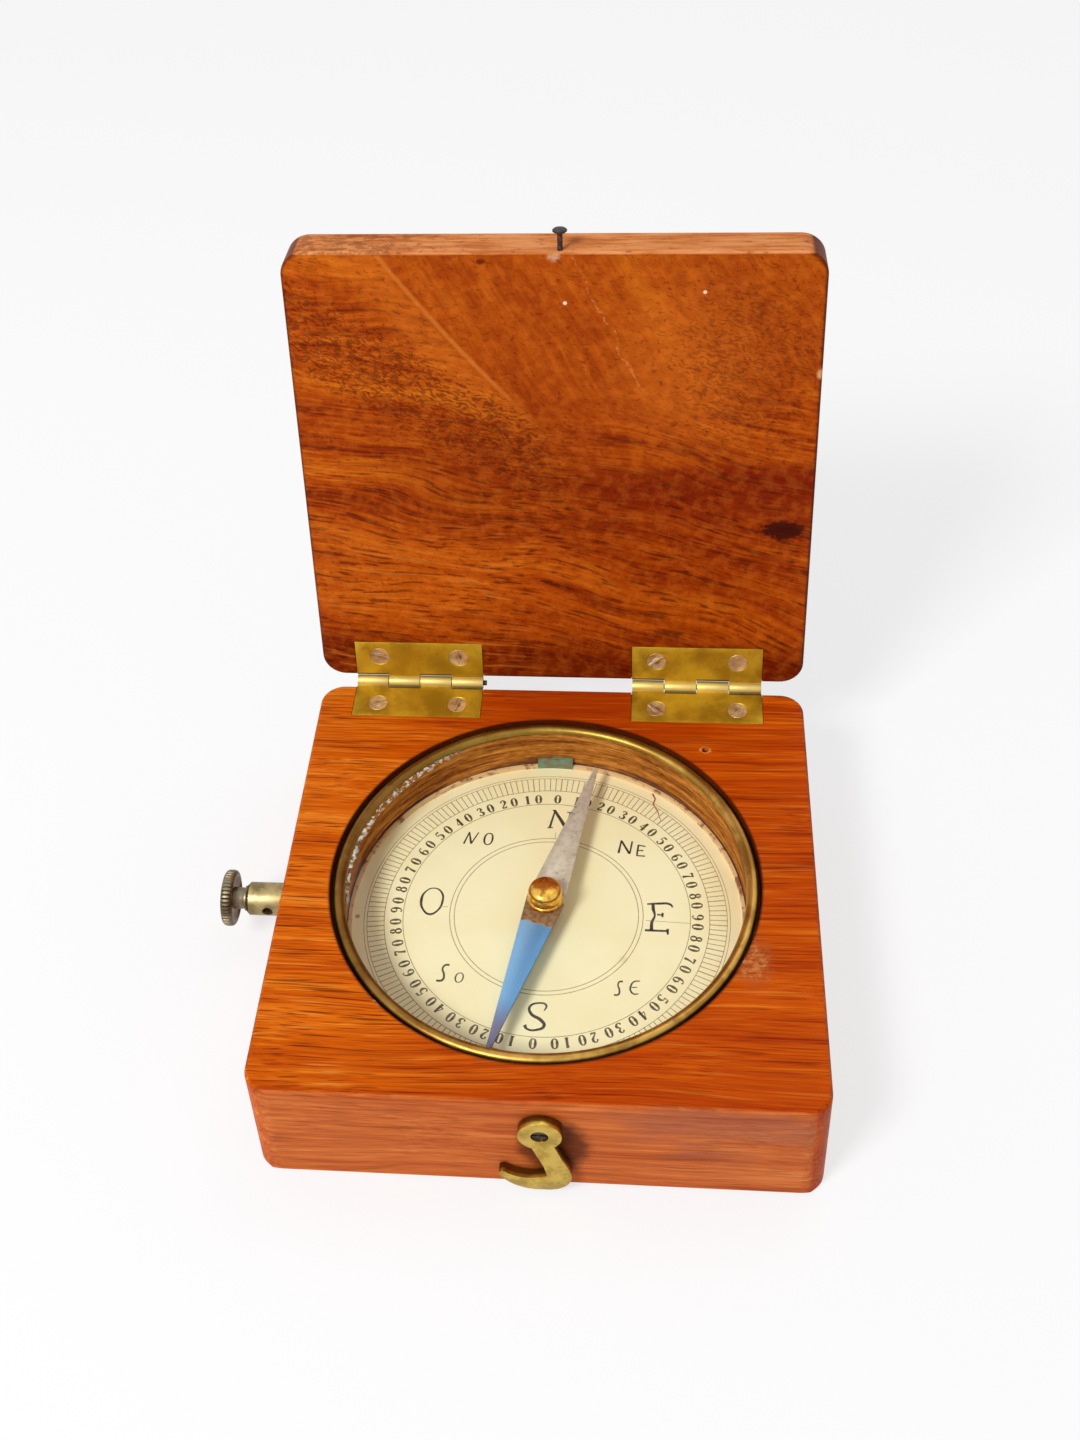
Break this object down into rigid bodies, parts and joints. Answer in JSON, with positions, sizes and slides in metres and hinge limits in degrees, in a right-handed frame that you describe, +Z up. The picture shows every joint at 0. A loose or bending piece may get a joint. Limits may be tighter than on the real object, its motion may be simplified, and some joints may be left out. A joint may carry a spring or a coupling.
{
  "type": "boxed pocket compass",
  "caption": "Marine compass in a square hinged wooden case: a needle swings over a printed card under glass, a side knob lifts and locks it, and a hook keeps the lid shut.",
  "frame": {"origin": "the point of the case's underside below the needle's pivot, where it rests", "axes": "+Z up out of the case, +X to the east of the card, +Y to its north and the hinges; the catch is on the -Y face and the knob on the -X face"},
  "size_m": [0.1086, 0.115, 0.1208],
  "materials": {
    "case_wood": "old mahogany, worn varnish",
    "lid_wood": "old mahogany, worn varnish",
    "hinge_brass": "tarnished",
    "screw_brass": "worn bright on the edges",
    "dark_steel": "rust-darkened",
    "hook_brass": "cast, rubbed bright",
    "bezel_brass": "half-round, dull",
    "window_glass": "clear",
    "card_paper": "printed paper, yellowed",
    "card_board": "pasteboard",
    "tab_metal": "verdigris",
    "plate_metal": "zinc sheet, dull",
    "needle_steel": "half bright, half blued",
    "cap_brass": "polished",
    "stone": "polished",
    "point_steel": "polished",
    "works_brass": "as turned",
    "lock_brass": "olive with age"
  },
  "bodies": {
    "case": {"wood_case": "case_wood", "case_leaf_left": "hinge_brass", "case_leaf_right": "hinge_brass", "hinge_pin_left": "dark_steel", "hinge_pin_right": "dark_steel", "case_hinge_screws": "screw_brass", "hook_screw": "dark_steel", "hook_washer": "hook_brass", "dial_plate": "plate_metal", "dial_card": "card_paper", "card_ring": "card_board", "north_tab": "tab_metal", "cover_glass": "window_glass", "bezel_ring": "bezel_brass", "pivot_bridge": "works_brass", "bridge_screws": "dark_steel", "pivot_post": "works_brass", "pivot_point": "point_steel", "lock_barrel": "lock_brass"},
    "lid": {"wood_lid": "lid_wood", "lid_leaf_left": "hinge_brass", "lid_leaf_right": "hinge_brass", "lid_hinge_screws": "screw_brass", "catch_nail": "dark_steel"},
    "hook": {"catch_hook": "hook_brass"},
    "lock": {"lock_knob": "lock_brass", "lock_shaft": "point_steel", "shaft_collar": "works_brass", "lock_washer": "dark_steel"},
    "lifter": {"lifting_collar": "works_brass"},
    "needle": {"needle_blade": "needle_steel", "needle_cap": "cap_brass", "cap_jewel": "stone"}
  },
  "joints": [
    {"name": "lid_hinge", "type": "hinge", "parent": "case", "child": "lid", "pos_m": [0, 0.0483, 0.0236], "axis": [-1, 0, 0], "range_deg": [-96.5, 83.5]},
    {"name": "hook_pivot", "type": "hinge", "parent": "case", "child": "hook", "pos_m": [0.0016, -0.04675, 0.0171], "axis": [0, 1, 0], "range_deg": [-90, 180]},
    {"name": "lock_turn", "type": "hinge", "parent": "case", "child": "lock", "pos_m": [-0.0594, 0.0032, 0.01055], "axis": [-1, 0, 0], "range_deg": [0, 102.2]},
    {"name": "lifter_slide", "type": "slide", "parent": "case", "child": "lifter", "axis": [0, 0, 1], "range_m": [0, 0.0007]},
    {"name": "needle_spin", "type": "hinge", "parent": "lifter", "child": "needle", "pos_m": [0, 0, 0.0191], "axis": [0, 0, 1], "continuous": true}
  ],
  "couplings": [
    {"joint": "lock_turn", "follows": "lifter_slide", "rad_per_m": 2546.1}
  ]
}
